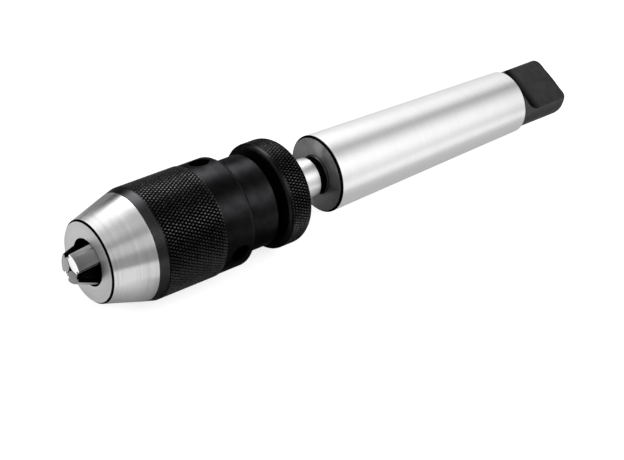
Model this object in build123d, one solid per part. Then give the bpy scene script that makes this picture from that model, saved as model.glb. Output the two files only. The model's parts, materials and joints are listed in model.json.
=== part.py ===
from build123d import *
from math import asin, cos, hypot, radians, sin, sqrt, tan
import os

# Keyless drill chuck on a tapered arbor.
# The row frame: X runs along the tool from nose to tang, Z is normal to the tang's flats, and the
# origin is the centre of the arbor taper's gauge plane. All sizes are in mm.
# While a piece is drawn, its stations are measured from the nose face: x = 0 there.

# Driving sizes: arbor
GAUGE_D = 23.825          # number 3 Morse taper at its gauge plane
MORSE_RATE = 0.05020      # taper on diameter per mm
FACE_TO_GAUGE = 5.0       # arbor front face to gauge plane
GAUGE_TO_END = 94.0       # gauge plane to the end of the tang
TANG_LENGTH = 20.0
TANG_RELIEF = 0.8         # radial step from the taper down to the tang
TANG_THICK = 7.9
TANG_MILL_R = 8.0         # cutter radius left where the flats run out
TANG_END_R = 2.0
TANG_DOME = 1.0           # rise of the tang's end from corner to centre
CENTRE_D = 4.0            # lathe centre in the tang's end
CENTRE_DRILL_D = 1.6
CENTRE_DRILL_DEPTH = 5.0
SOCKET_D = 12.065         # B12 taper at the chuck's mouth
SOCKET_RATE = 1 / 20.047  # taper on diameter per mm
SOCKET_LENGTH = 18.5
SOCKET_END_GAP = 1.0      # arbor's small end to the floor of the socket
NECK_LENGTH = 8.2         # bright neck between chuck and undercut
UNDERCUT_LENGTH = 3.1
UNDERCUT_DEPTH = 0.5      # below the neck, on radius
UNDERCUT_FILLET = 0.5
RIM_CHAMFER = 0.6
LEAD_IN = 0.8             # chamfer that helps the arbor and the screw into their bores

# Driving sizes: outside of the chuck, one length after the other from the nose face
CONE_LENGTH = 13.0
BEVEL_LENGTH = 2.8
KNURL_LAND = 0.4          # full-size rim in front of the knurl
KNURL_LENGTH = 19.4
BAND_LENGTH = 10.5
WAIST_LENGTH = 10.1
RING_GAP = 2.55
RING_LENGTH = 9.7
CHUCK_TAIL = 1.55         # body behind the rear ring
NOSE_D = 24.66            # large end of the nose face chamfer
NOSE_CHAMFER = 0.5
SLEEVE_WALL = 1.32        # sleeve under the valleys of its knurl
KNURL_DEPTH = 0.45        # radial depth of the turned band that carries the knurl
BEVEL_RISE = 0.75         # radial rise from the cone to the knurl
BAND_STEP = 0.25          # smooth band below the knurl's crests, on radius
REAR_LIP = 1.43           # the sleeve's rear bore is this much smaller on radius
SLEEVE_END_R = 1.3
WAIST_STEP = 0.4          # radial shoulder of the retaining nut behind the sleeve
RING_D = 32.3
RING_FRONT_R = 1.2
RING_REAR_R = 4.0
RING_KNURL_START = 1.4    # behind the ring's front face
RING_KNURL_STOP = 1.3     # in front of the ring's rear face, on its rounded edge
EDGE = 0.35               # small turned chamfers
SPANNER_COUNT = 3
SPANNER_D = 6.0
SPANNER_DEPTH = 2.2
SPANNER_TURN = 48.5       # direction of the first spanner hole round X, from +Y towards +Z

# Driving sizes: jaws and drive screw
JAW_COUNT = 3
JAW_TURN = 98.0           # direction of jaw 1 round X, from +Y towards +Z
JAW_ANGLE = 20.0          # between a jaw's slide and the tool axis
JAW_WIDTH = 5.7
JAW_OUTER_R = 6.5         # curvature of a jaw's back, and its radius at the nose face
JAW_TIP = 5.7             # reach beyond the nose face in the rest pose
JAW_RELIEF = 0.46         # taken off the back of a jaw at its rear end
GRIP_REST = 0.6           # radius between the jaws as photographed
APEX_REST = 0.16          # radius where the two V faces of a jaw would meet
JAW_OPENING = 4.4         # radial travel from rest to full opening
GROOVE_DROP = 1.8         # guide groove below the top of the jaw's back
GROOVE_WIDTH = 0.7
GROOVE_DEPTH = 0.6
NECK_WIDTH = 3.0
TEE_WIDTH = 5.0
TEE_INNER_Z = 1.2
TEE_OUTER_Z = 4.1
TEE_THICK = 2.4
HEAD_X = 11.0             # front face of the drive screw's head at rest
HEAD_LIP = 1.6
HEAD_WEB = 1.8
SHANK_D = 9.8
SCREW_WEB = 1.6           # metal between the screw's bore and the floor of the socket

# Driving sizes: guide and bearing
SPIGOT_LENGTH = 6.0       # nose cone inside the sleeve
GUIDE_FRONT_X = 5.0
PILOT_D = 22.9            # front of the chuck body, inside the guide
PILOT_LENGTH = 3.9
FLANGE_THICK = 4.2
BEARING_SPACE = 3.7       # from the chuck body's journal to the sleeve's rear bore
BALL_COUNT = 12
CAGE_WALL = 0.35          # least metal beside a ball's pocket
RACE_THICK = 1.0
RACE_GROOVE = 0.2         # depth of the ball's track in each race

# Clearances
RUNNING = 0.05            # radial clearance of a running fit
SLIDING = 0.05            # clearance each side of a sliding piece
SEATED = 0.02             # gap between parts that sit against each other
AXIAL_GAP = 0.1           # gap between faces that pass each other
SHOULDER_GAP = 0.2        # gap between shoulders that carry no load
CAVITY_GAP = 0.3          # front face of the screw's head to its cavity
REAR_GAP = 0.4            # rear face of a jaw to the screw's head
STROKE_ROOM = 0.5         # left over at the end of a stroke
BORE_ROOM = 0.1           # radial gap of the plain bore round the screw's shank
SHANK_ROOM = 0.4          # drill shank of the largest size to the guide's bore
JAW_ROOM = 0.45           # open jaw to the sleeve's bore
HEAD_ROOM = 0.2           # screw head to the cavity in the guide
FLANGE_ROOM = 0.3         # chuck body's flange to the sleeve's rear bore
CAGE_ROOM = 0.2           # ball cage to the journal
CAGE_GAP = 0.4            # ball cage to each race
WALL_SHARE = 0.6          # most of a wall that the fillet on its edge may take
SPARE = 1.0               # reach of cutting shapes past the face they start from
FAR = 40.0                # reach of cutting shapes that end in free space

# Derived stations along X
CONE_END_X = CONE_LENGTH
BEVEL_END_X = CONE_END_X + BEVEL_LENGTH
KNURL_X = BEVEL_END_X + KNURL_LAND
KNURL_END_X = KNURL_X + KNURL_LENGTH
SLEEVE_END_X = KNURL_END_X + BAND_LENGTH
WAIST_END_X = SLEEVE_END_X + WAIST_LENGTH
RING_START_X = WAIST_END_X + RING_GAP
RING_END_X = RING_START_X + RING_LENGTH
CHUCK_END_X = RING_END_X + CHUCK_TAIL
NECK_END_X = CHUCK_END_X + NECK_LENGTH
FACE_X = NECK_END_X + UNDERCUT_LENGTH
GAUGE_X = FACE_X + FACE_TO_GAUGE
END_X = GAUGE_X + GAUGE_TO_END
TANG_X = END_X - TANG_LENGTH
SOCKET_FLOOR_X = CHUCK_END_X - SOCKET_LENGTH - SOCKET_END_GAP
SPANNER_X = (KNURL_END_X + SLEEVE_END_X) / 2
PART_FRAME = Pos(-GAUGE_X, 0, 0)

# Derived sizes of the mechanism
SLOPE = tan(radians(JAW_ANGLE))
AXIAL_TRAVEL = JAW_OPENING / SLOPE
HOLE_R = JAW_OUTER_R + 2 * SLIDING
TEE_X = HEAD_X + HEAD_LIP + AXIAL_GAP
TEE_END_X = TEE_X + TEE_THICK
HEAD_END_X = TEE_END_X + AXIAL_GAP + HEAD_WEB
HEAD_R = hypot(TEE_OUTER_Z + JAW_OPENING, TEE_WIDTH / 2) + SLIDING
OPEN_HEAD_X = HEAD_END_X + AXIAL_TRAVEL
SCREW_BORE_X = SOCKET_FLOOR_X - SCREW_WEB
SCREW_END_X = SCREW_BORE_X - AXIAL_TRAVEL - STROKE_ROOM
JAW_REAR_X = HEAD_X - REAR_GAP
JAW_TRIM_Z = JAW_OUTER_R + SLOPE * JAW_REAR_X - JAW_RELIEF
DRILL_BORE_R = GRIP_REST + JAW_OPENING + SHANK_ROOM
SLEEVE_BORE_R = hypot(JAW_TRIM_Z + JAW_OPENING, JAW_WIDTH / 2) + JAW_ROOM
CREST_R = SLEEVE_BORE_R + SLEEVE_WALL + KNURL_DEPTH
BAND_R = CREST_R - BAND_STEP
REAR_BORE_R = SLEEVE_BORE_R - REAR_LIP
WAIST_R = REAR_BORE_R + WAIST_STEP
SPIGOT_END_X = CONE_END_X + SPIGOT_LENGTH
PILOT_X = OPEN_HEAD_X + SHOULDER_GAP
SHOULDER_X = PILOT_X + PILOT_LENGTH + SEATED
FLANGE_X = SHOULDER_X + SHOULDER_GAP
FLANGE_END_X = FLANGE_X + FLANGE_THICK
JOURNAL_R = REAR_BORE_R - BEARING_SPACE
FLANGE_R = REAR_BORE_R - FLANGE_ROOM
CAGE_R = JOURNAL_R + CAGE_ROOM
BALL_PITCH_R = (CAGE_R + FLANGE_R) / 2
BALL_D = FLANGE_R - CAGE_R - 2 * CAGE_WALL - 2 * RUNNING
RACE_GAP = BALL_D / 2 - RACE_GROOVE
CAGE_HALF = RACE_GAP - CAGE_GAP
BALL_X = FLANGE_END_X + SEATED + RACE_THICK + RACE_GAP
NUT_X = BALL_X + RACE_GAP + RACE_THICK + SEATED


def turned(points):
    """Solid turned about X from (x, radius) corners, or (x, radius, fillet) for a rounded one."""
    face = make_face(Polyline([(p[0], p[1]) for p in points], close=True))
    for corner in points:
        if len(corner) == 3:
            nearest = face.vertices().sort_by_distance((corner[0], corner[1], 0))[0]
            face = fillet(nearest, corner[2])
    return revolve(face, Axis.X)


def block(start, end, half_width, low, high):
    """Box from x = start to end, |y| <= half_width, z = low to high."""
    size = (end - start, 2 * half_width, high - low)
    return Pos((start + end) / 2, 0, (low + high) / 2) * Box(*size)


def around_x(angle):
    return Rot(X=angle)


def towards_jaw(number):
    """Turns what points to +Z to the direction of a jaw."""
    return around_x(JAW_TURN - 90 + 360 / JAW_COUNT * number)


def bore_cone_r(x):
    """Radius of the slanted bore that carries the backs of the jaws."""
    return HOLE_R + SLOPE * x


def morse_r(x):
    return GAUGE_D / 2 - (x - GAUGE_X) * MORSE_RATE / 2


def socket_r(x):
    return SOCKET_D / 2 + (x - CHUCK_END_X) * SOCKET_RATE / 2


# Arbor: B12 nose, undercut, Morse taper and tang in one piece
def arbor():
    small_x = CHUCK_END_X - SOCKET_LENGTH
    undercut_r = socket_r(NECK_END_X) - UNDERCUT_DEPTH
    tang_r = morse_r(TANG_X) - TANG_RELIEF
    body = turned([
        (small_x, 0),
        (small_x, socket_r(small_x) - LEAD_IN),
        (small_x + LEAD_IN, socket_r(small_x)),
        (NECK_END_X, socket_r(NECK_END_X)),
        (NECK_END_X, undercut_r),
        (FACE_X, undercut_r, UNDERCUT_FILLET),
        (FACE_X, morse_r(FACE_X) - RIM_CHAMFER),
        (FACE_X + RIM_CHAMFER, morse_r(FACE_X + RIM_CHAMFER)),
        (TANG_X - TANG_RELIEF, morse_r(TANG_X - TANG_RELIEF)),
        (TANG_X, tang_r),
        (END_X - TANG_DOME, tang_r, TANG_END_R),
        (END_X, 0),
    ])
    return body - tang_cut(tang_r) - Rot(X=180) * tang_cut(tang_r) - lathe_centre()


def tang_cut(tang_r):
    """Metal milled off the upper side of the tang: a flat that runs out in the cutter's radius."""
    flat = TANG_THICK / 2
    rise = tang_r + SPARE - flat
    run = sqrt(TANG_MILL_R ** 2 - (TANG_MILL_R - rise) ** 2)
    drop = tang_r - flat
    flat_x = TANG_X + sqrt(TANG_MILL_R ** 2 - (TANG_MILL_R - drop) ** 2)
    half = asin(run / TANG_MILL_R) / 2
    middle = (flat_x - TANG_MILL_R * sin(half), flat + TANG_MILL_R * (1 - cos(half)))
    outline = Wire([
        Line((END_X + SPARE, flat), (flat_x, flat)),
        ThreePointArc((flat_x, flat), middle, (flat_x - run, flat + rise)),
        Line((flat_x - run, flat + rise), (END_X + SPARE, flat + rise)),
        Line((END_X + SPARE, flat + rise), (END_X + SPARE, flat)),
    ])
    return extrude(Plane.XZ * make_face(outline), 2 * tang_r, both=True)


def lathe_centre():
    """Drilled 60 degree centre on which the arbor was ground."""
    mouth_r = CENTRE_D / 2
    drill_r = CENTRE_DRILL_D / 2
    cone_x = END_X - (mouth_r - drill_r) * tan(radians(60))
    floor_x = END_X - CENTRE_DRILL_DEPTH
    drill_point = drill_r / 2
    return turned([
        (END_X + SPARE, 0),
        (END_X + SPARE, mouth_r),
        (END_X, mouth_r),
        (cone_x, drill_r),
        (floor_x, drill_r),
        (floor_x - drill_point, 0),
    ])


# Static pieces of the chuck
def chuck_body():
    bore_r = SHANK_D / 2 + BORE_ROOM
    front_x = PILOT_X + SHOULDER_GAP
    pilot_r = PILOT_D / 2
    solid = turned([
        (front_x, bore_r),
        (front_x, pilot_r - EDGE),
        (front_x + EDGE, pilot_r),
        (FLANGE_X, pilot_r),
        (FLANGE_X, FLANGE_R),
        (FLANGE_END_X, FLANGE_R),
        (FLANGE_END_X, JOURNAL_R),
        (CHUCK_END_X - EDGE, JOURNAL_R),
        (CHUCK_END_X, JOURNAL_R - EDGE),
        (CHUCK_END_X, 0),
        (SCREW_BORE_X, 0),
        (SCREW_BORE_X, bore_r),
    ])
    gap = SEATED / 2
    mouth_x = CHUCK_END_X + SPARE
    socket = turned([
        (SOCKET_FLOOR_X, 0),
        (SOCKET_FLOOR_X, socket_r(SOCKET_FLOOR_X) + gap),
        (mouth_x, socket_r(mouth_x) + gap),
        (mouth_x, 0),
    ])
    return solid - socket


def rear_ring():
    """Ring whose knurl runs along its rim and on over its rounded rear edge."""
    knurled_zone = band_outside(
        RING_START_X + RING_KNURL_START,
        RING_END_X - RING_KNURL_STOP,
        RING_D / 2 - RING_REAR_R,
    )
    return ring_blank(0) - (knurled_zone - ring_blank(KNURL_DEPTH))


def ring_blank(depth):
    """The rear ring, or its core at some depth below the rim and the rounded rear edge."""
    bore = JOURNAL_R + SEATED
    outer = RING_D / 2 - depth
    rear_x = RING_END_X - depth
    return turned([
        (RING_START_X, bore),
        (RING_START_X, outer, RING_FRONT_R),
        (rear_x, outer, RING_REAR_R - depth),
        (rear_x, bore),
    ])


def band_outside(start, end, radius):
    """Cutting ring between two stations, from a radius outwards."""
    outside = CREST_R + SPARE
    return turned([
        (start, radius),
        (start, outside),
        (end, outside),
        (end, radius),
    ])


# Turning pieces
def nose_cone():
    spigot_r = SLEEVE_BORE_R - SEATED
    return turned([
        (0, bore_cone_r(EDGE) + EDGE),
        (0, NOSE_D / 2 - NOSE_CHAMFER),
        (NOSE_CHAMFER, NOSE_D / 2),
        (CONE_END_X, CREST_R - BEVEL_RISE),
        (CONE_END_X, spigot_r),
        (SPIGOT_END_X, spigot_r),
        (SPIGOT_END_X, bore_cone_r(SPIGOT_END_X)),
        (EDGE, bore_cone_r(EDGE)),
    ])


def knurled_sleeve():
    front_x = CONE_END_X + SEATED
    end_r = min(SLEEVE_END_R, WALL_SHARE * (BAND_R - REAR_BORE_R))
    solid = turned([
        (front_x, SLEEVE_BORE_R),
        (front_x, CREST_R - BEVEL_RISE),
        (BEVEL_END_X, CREST_R),
        (KNURL_END_X, CREST_R),
        (KNURL_END_X, BAND_R),
        (SLEEVE_END_X, BAND_R, end_r),
        (SLEEVE_END_X, REAR_BORE_R),
        (SHOULDER_X, REAR_BORE_R),
        (SHOULDER_X, SLEEVE_BORE_R),
    ])
    solid -= band_outside(KNURL_X, KNURL_END_X, CREST_R - KNURL_DEPTH)
    for number in range(SPANNER_COUNT):
        solid -= spanner_hole(SPANNER_TURN + 360 / SPANNER_COUNT * number)
    return solid


def spanner_hole(direction):
    """Flat-bottomed hole for the pin of a hook spanner."""
    upwards = (Align.CENTER, Align.CENTER, Align.MIN)
    drill = Cylinder(SPANNER_D / 2, FAR, align=upwards)
    return around_x(direction - 90) * Pos(SPANNER_X, 0, BAND_R - SPANNER_DEPTH) * drill


def retaining_nut():
    """Nut in the rear of the sleeve that carries the bearing's load; its outside is the waist."""
    bore = JOURNAL_R + RUNNING
    plug_r = REAR_BORE_R - SEATED
    shoulder_x = SLEEVE_END_X + SHOULDER_GAP
    return turned([
        (NUT_X, bore),
        (NUT_X, plug_r),
        (shoulder_x, plug_r),
        (shoulder_x, WAIST_R),
        (WAIST_END_X - EDGE, WAIST_R),
        (WAIST_END_X, WAIST_R - EDGE),
        (WAIST_END_X, bore),
    ])


# Jaws, their guide and the drive screw
def jaw_section(grow):
    """Cross-section of a jaw square to its slide; grow > 0 gives the channel it slides in."""
    half = JAW_WIDTH / 2 + grow
    radius = JAW_OUTER_R + grow
    drop = radius - sqrt(radius ** 2 - half ** 2) - grow
    outline = Wire([
        Line((-half, -FAR), (-half, -drop)),
        ThreePointArc((-half, -drop), (0, grow), (half, -drop)),
        Line((half, -drop), (half, -FAR)),
        Line((half, -FAR), (-half, -FAR)),
    ])
    section = make_face(outline)
    bottom = JAW_WIDTH / 2 - GROOVE_DEPTH + grow
    for side in (-1, 1):
        middle = Pos(side * (bottom + GROOVE_DEPTH), -GROOVE_DROP)
        section -= middle * Rectangle(2 * GROOVE_DEPTH, GROOVE_WIDTH - 2 * grow)
    return section


def along_slide(section):
    """A section run along the slanted slide of a jaw that points to +Z."""
    slant = radians(JAW_ANGLE)
    slide = Plane(origin=(0, 0, JAW_OUTER_R), x_dir=(0, 1, 0), z_dir=(cos(slant), 0, sin(slant)))
    return extrude(slide * section, FAR, both=True)


def grip_wedge(start, end):
    """Space between the two V faces and beyond the grip land of a jaw that points to +Z."""
    steep = tan(radians(180 / JAW_COUNT))
    corners = [
        (-steep * (GRIP_REST - APEX_REST), GRIP_REST),
        (steep * (GRIP_REST - APEX_REST), GRIP_REST),
        (steep * (FAR - APEX_REST), FAR),
        (-steep * (FAR - APEX_REST), FAR),
    ]
    face = Plane.YZ * make_face(Polyline(corners, close=True))
    return Pos(start, 0, 0) * extrude(face, end - start)


def jaw():
    """One jaw that points to +Z, in its rest position."""
    body = along_slide(jaw_section(0)) & block(-JAW_TIP, JAW_REAR_X, JAW_WIDTH, 0, JAW_TRIM_Z)
    neck = block(JAW_REAR_X, TEE_X, NECK_WIDTH / 2, TEE_INNER_Z, TEE_OUTER_Z)
    tee = block(TEE_X, TEE_END_X, TEE_WIDTH / 2, TEE_INNER_Z, TEE_OUTER_Z)
    return (body + neck + tee) & grip_wedge(-JAW_TIP, TEE_END_X)


def drive_screw():
    """Screw whose slotted head draws the three jaws back together."""
    screw = turned([
        (HEAD_X, 0),
        (HEAD_X, HEAD_R),
        (HEAD_END_X, HEAD_R),
        (HEAD_END_X, SHANK_D / 2),
        (SCREW_END_X - LEAD_IN, SHANK_D / 2),
        (SCREW_END_X, SHANK_D / 2 - LEAD_IN),
        (SCREW_END_X, 0),
    ])
    lip_end = HEAD_X + HEAD_LIP
    pocket_end = TEE_END_X + AXIAL_GAP
    for number in range(JAW_COUNT):
        slot = block(HEAD_X - SPARE, lip_end, NECK_WIDTH / 2 + SLIDING, 0, FAR)
        pocket = block(lip_end, pocket_end, TEE_WIDTH / 2 + SLIDING, 0, FAR)
        screw -= towards_jaw(number) * (slot + pocket)
    return screw


def jaw_guide():
    """Slotted guide inside the nose: ribs in its slots run in the grooves of the jaws."""
    plug_r = SLEEVE_BORE_R - SEATED
    pilot_bore = PILOT_D / 2 + RUNNING
    cavity_r = HEAD_R + HEAD_ROOM
    cavity_x = HEAD_X - CAVITY_GAP
    plug_x = SPIGOT_END_X + SEATED
    rear_x = SHOULDER_X - SEATED
    cone_gap = SEATED / cos(radians(JAW_ANGLE))
    guide = turned([
        (GUIDE_FRONT_X, DRILL_BORE_R),
        (GUIDE_FRONT_X, bore_cone_r(GUIDE_FRONT_X) - cone_gap),
        (SPIGOT_END_X, bore_cone_r(SPIGOT_END_X) - cone_gap),
        (plug_x, bore_cone_r(SPIGOT_END_X) - cone_gap),
        (plug_x, plug_r),
        (rear_x, plug_r),
        (rear_x, pilot_bore),
        (PILOT_X, pilot_bore),
        (PILOT_X, cavity_r),
        (cavity_x, cavity_r),
        (cavity_x, DRILL_BORE_R),
    ])
    below_crown = JAW_OUTER_R / 4
    mouth = Pos(0, FAR / 2 - below_crown) * Rectangle(JAW_WIDTH + 2 * SLIDING, FAR)
    channel = along_slide(jaw_section(SLIDING) + mouth)
    slot_end = JAW_REAR_X + AXIAL_TRAVEL + STROKE_ROOM
    slot = channel & block(0, slot_end, JAW_WIDTH, 0, FAR)
    for number in range(JAW_COUNT):
        guide -= towards_jaw(number) * slot
    return guide


# Thrust bearing
def race(side):
    """Grooved washer on one side of the balls; side -1 sits on the flange, +1 on the nut."""
    near = BALL_X + side * RACE_GAP
    far = near + side * RACE_THICK
    inner = JOURNAL_R + (SEATED if side < 0 else CAGE_ROOM)
    outer = FLANGE_R if side < 0 else REAR_BORE_R - SEATED
    corners = [(near, inner), (near, outer), (far, outer), (far, inner)]
    track = Pos(BALL_X, BALL_PITCH_R) * Circle(BALL_D / 2 + SEATED)
    return revolve(make_face(Polyline(corners, close=True)) - track, Axis.X)


def ball_cage():
    ring = turned([
        (BALL_X - CAGE_HALF, CAGE_R),
        (BALL_X - CAGE_HALF, FLANGE_R),
        (BALL_X + CAGE_HALF, FLANGE_R),
        (BALL_X + CAGE_HALF, CAGE_R),
    ])
    for number in range(BALL_COUNT):
        ring -= ball_place(number) * Rot(Y=90) * Cylinder(BALL_D / 2 + RUNNING, BALL_D)
    return ring


def ball_place(number):
    return around_x(360 / BALL_COUNT * number) * Pos(BALL_X, BALL_PITCH_R, 0)


def pieces():
    """Every node of the part, drawn with x = 0 at the nose face."""
    nodes = {
        "arbor": arbor(),
        "chuck_body": chuck_body(),
        "rear_ring": rear_ring(),
        "nose_cone": nose_cone(),
        "knurled_sleeve": knurled_sleeve(),
        "retaining_nut": retaining_nut(),
        "jaw_guide": jaw_guide(),
        "drive_screw": drive_screw(),
        "race_front": race(-1),
        "race_rear": race(1),
        "ball_cage": ball_cage(),
    }
    for number in range(JAW_COUNT):
        nodes[f"jaw_{number + 1}"] = towards_jaw(number) * jaw()
    for number in range(BALL_COUNT):
        nodes[f"ball_{number + 1:02d}"] = ball_place(number) * Sphere(BALL_D / 2)
    return nodes


os.makedirs("parts", exist_ok=True)
for name, solid in pieces().items():
    export_step(PART_FRAME * solid, f"parts/{name}.step")
    print(f"{name}: {solid.volume:.1f} mm3")
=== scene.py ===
# %% [markdown]
# # A keyless drill chuck on a tapered arbor
#
# The tool is steel all through: a bright turned nose, a black hand sleeve with a diamond knurl, three
# ground jaws, and one long arbor whose ground taper ends in a black milled tang.
# The solid pieces and their joints exist already, as a frame that this lesson loads. They could be
# shown as they are, but a drawing's solids have dead sharp edges and no knurl. So each piece that the
# eye meets is made again here as a fine mesh with its edges broken, and the frame keeps the motion.

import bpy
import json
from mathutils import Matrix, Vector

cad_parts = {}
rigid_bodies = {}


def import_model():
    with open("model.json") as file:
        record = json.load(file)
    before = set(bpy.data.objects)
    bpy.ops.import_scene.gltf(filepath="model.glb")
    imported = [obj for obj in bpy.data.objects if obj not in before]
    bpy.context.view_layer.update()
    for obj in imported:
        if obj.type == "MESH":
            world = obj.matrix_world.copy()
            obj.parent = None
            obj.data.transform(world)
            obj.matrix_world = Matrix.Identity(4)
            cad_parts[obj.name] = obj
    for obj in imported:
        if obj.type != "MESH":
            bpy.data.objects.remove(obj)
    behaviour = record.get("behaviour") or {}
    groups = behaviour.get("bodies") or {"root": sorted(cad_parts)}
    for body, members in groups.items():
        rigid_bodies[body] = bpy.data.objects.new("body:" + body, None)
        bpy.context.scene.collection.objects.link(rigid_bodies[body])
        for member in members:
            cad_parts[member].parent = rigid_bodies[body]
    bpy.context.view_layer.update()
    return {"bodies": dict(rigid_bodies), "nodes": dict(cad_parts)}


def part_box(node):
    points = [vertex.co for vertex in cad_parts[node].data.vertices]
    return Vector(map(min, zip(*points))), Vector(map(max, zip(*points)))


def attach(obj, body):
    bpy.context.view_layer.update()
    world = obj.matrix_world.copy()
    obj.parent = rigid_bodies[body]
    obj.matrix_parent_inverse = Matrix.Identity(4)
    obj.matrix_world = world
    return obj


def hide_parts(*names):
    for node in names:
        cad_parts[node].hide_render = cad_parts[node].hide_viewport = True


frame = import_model()
nodes = frame["nodes"]
print("frame:", len(nodes), "nodes on bodies", ", ".join(frame["bodies"]))

# %% [markdown]
# ## One ruler for everything
# A turner measures a chuck from its nose face, so all stations here are millimetres behind that face.
# The frame's own zero is the gauge plane of the taper, far behind the nose, and its unit is the metre.
# Reading the ends of the pieces from the frame keeps the skins on their solids. Only what a box can't
# tell, such as a wall or a chamfer, is written down as a number.

# %% Stations and radii
from collections import namedtuple
import json
from math import acos, atan2, cos, exp, hypot, pi, radians, sin, sqrt, tan

import bmesh
import bpy
import numpy as np
from mathutils import Matrix, Vector

mm = 0.001
NOSE_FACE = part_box("nose_cone")[0].x


def station(node, end):
    """Station of a node's front (end 0) or rear (end 1), in mm behind the nose face."""
    return (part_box(node)[end].x - NOSE_FACE) / mm


def outer_radius(node):
    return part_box(node)[1].z / mm


CONE_END = station("knurled_sleeve", 0)
BAND_END = station("knurled_sleeve", 1)
WAIST_END = station("retaining_nut", 1)
RING_FRONT = station("rear_ring", 0)
RING_REAR = station("rear_ring", 1)
BODY_END = station("chuck_body", 1)
TANG_END = station("arbor", 1)
SLEEVE_R = outer_radius("knurled_sleeve")
RING_R = outer_radius("rear_ring")
print(f"cone to {CONE_END:.2f}, sleeve to {BAND_END:.2f}, waist to {WAIST_END:.2f}, tang to {TANG_END:.2f}")

# %% [markdown]
# ## Edges that catch light
# No turned edge is truly sharp: the file or the tumbler takes off a tenth of a millimetre, and that
# narrow round is what draws the thin bright line along a real edge. A bevel modifier could do it, but
# it rounds every edge alike and leaves no trace of where it worked. An outline with its own rounded
# corners can have a different break at each corner, and each point can carry a number that says
# how much of an edge it is. The finishes read that number later to wear the black off the edges.

# %% An outline with broken corners
ARC_STEPS = 4
SUPPORT = 0.06       # extra point beside each arc, which keeps the shading of the long faces flat
SAME_POINT = 1e-6


def arc_points(centre, radius, start, end, steps):
    """Points of an arc from angle start to end the short way round, both included."""
    turn = (end - start + pi) % (2 * pi) - pi
    angles = [start + turn * step / steps for step in range(steps + 1)]
    return [(centre[0] + radius * cos(a), centre[1] + radius * sin(a)) for a in angles]


def rounded_corner(before, here, after, radius):
    """Points (x, r, edge) that replace one corner of an outline by an arc of that radius."""
    before, here, after = np.array(before), np.array(here), np.array(after)
    back, ahead = before - here, after - here
    room = (np.linalg.norm(back) / 2, np.linalg.norm(ahead) / 2)
    back, ahead = back / np.linalg.norm(back), ahead / np.linalg.norm(ahead)
    half = acos(np.clip(back @ ahead, -1, 1)) / 2
    reach = radius / tan(half)
    middle = back + ahead
    centre = here + middle / np.linalg.norm(middle) * radius / sin(half)
    first, last = here + back * reach - centre, here + ahead * reach - centre
    arc = arc_points(centre, radius, atan2(first[1], first[0]), atan2(last[1], last[0]), ARC_STEPS)
    points = [(x, r, 1.0) for x, r in arc]
    if reach + SUPPORT < room[0]:
        points.insert(0, (*(here + back * (reach + SUPPORT)), 0.0))
    if reach + SUPPORT < room[1]:
        points.append((*(here + ahead * (reach + SUPPORT)), 0.0))
    return points


def broken_outline(corners, closed=True):
    """Points (x, r, edge) of an outline given by corners (x, r) or (x, r, radius of its break)."""
    points = []
    for i, corner in enumerate(corners):
        at_end = not closed and i in (0, len(corners) - 1)
        if len(corner) == 2 or at_end:
            points.append((corner[0], corner[1], 0.0))
            continue
        after = corners[(i + 1) % len(corners)]
        points += rounded_corner(corners[i - 1][:2], corner[:2], after[:2], corner[2])
    return points


example = broken_outline([(0, 1), (0, 5, 0.2), (9, 5, 0.2), (9, 1)])
print("a bush of four corners, two of them broken, has an outline of", len(example), "points")

# %% [markdown]
# ## A shell of rings
# Everything on a lathe is a stack of rings about one axis. A spin modifier would make them from a
# curve, but the knurl and the milled tang have rings that aren't round. So a small collector takes
# points, rings and faces in the turner's own measures, and turns them into one closed mesh at the end.

# %% The collector
SHARP_ANGLE = radians(35)


def put_in_scene(name, data):
    """New object that carries a mesh, a lamp or a camera."""
    made = bpy.data.objects.new(name, data)
    bpy.context.scene.collection.objects.link(made)
    return made


class Shell:
    """Points and faces of one closed piece. Stations and radii are in mm, angles from +Y towards +Z."""

    def __init__(self):
        self.points = []
        self.edge = []
        self.faces = []

    def point(self, x, y, z, edge=0.0):
        self.points.append((x * mm + NOSE_FACE, y * mm, z * mm))
        self.edge.append(edge)
        return len(self.points) - 1

    def ring(self, x, r, angles, edge=0.0):
        return [self.point(x, r * cos(a), r * sin(a), edge) for a in angles]

    def join(self, *rings):
        """Quads between each ring and the next, which has as many points."""
        for ring, following in zip(rings, rings[1:]):
            for i in range(len(ring)):
                self.faces.append((ring[i - 1], ring[i], following[i], following[i - 1]))

    def turn(self, outline, angles):
        """Rings of an outline, each joined to the next; gives the first and the last ring."""
        rings = [self.ring(x, r, angles, edge) for x, r, edge in outline]
        self.join(*rings)
        return rings[0], rings[-1]

    def piece(self, name):
        """The closed mesh object, with its doubles merged and its faces turned outwards."""
        mesh = bpy.data.meshes.new(name)
        mesh.from_pydata(self.points, [], self.faces)
        mesh.attributes.new("edge", "FLOAT", "POINT").data.foreach_set("value", self.edge)
        tidy_mesh(mesh)
        return put_in_scene(name, mesh)


def tidy_mesh(mesh):
    work = bmesh.new()
    work.from_mesh(mesh)
    bmesh.ops.remove_doubles(work, verts=work.verts, dist=SAME_POINT)
    bmesh.ops.dissolve_degenerate(work, edges=work.edges, dist=SAME_POINT)
    bmesh.ops.recalc_face_normals(work, faces=work.faces)
    work.to_mesh(mesh)
    work.free()
    mesh.shade_smooth()
    mesh.set_sharp_from_angle(angle=SHARP_ANGLE)


def even_angles(count):
    return [2 * pi * i / count for i in range(count)]


def open_edges(made):
    """Number of edges that don't have two faces; 0 on a closed mesh."""
    work = bmesh.new()
    work.from_mesh(made.data)
    count = sum(not e.is_manifold for e in work.edges)
    work.free()
    return count


def settle(made, body, replaced):
    """Makes a finished skin ride on its body in place of its solid."""
    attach(made, body)
    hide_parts(replaced)
    print(f"{made.name}: {len(made.data.polygons)} faces, {open_edges(made)} open edges, on {body}")


print("collector ready")

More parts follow.
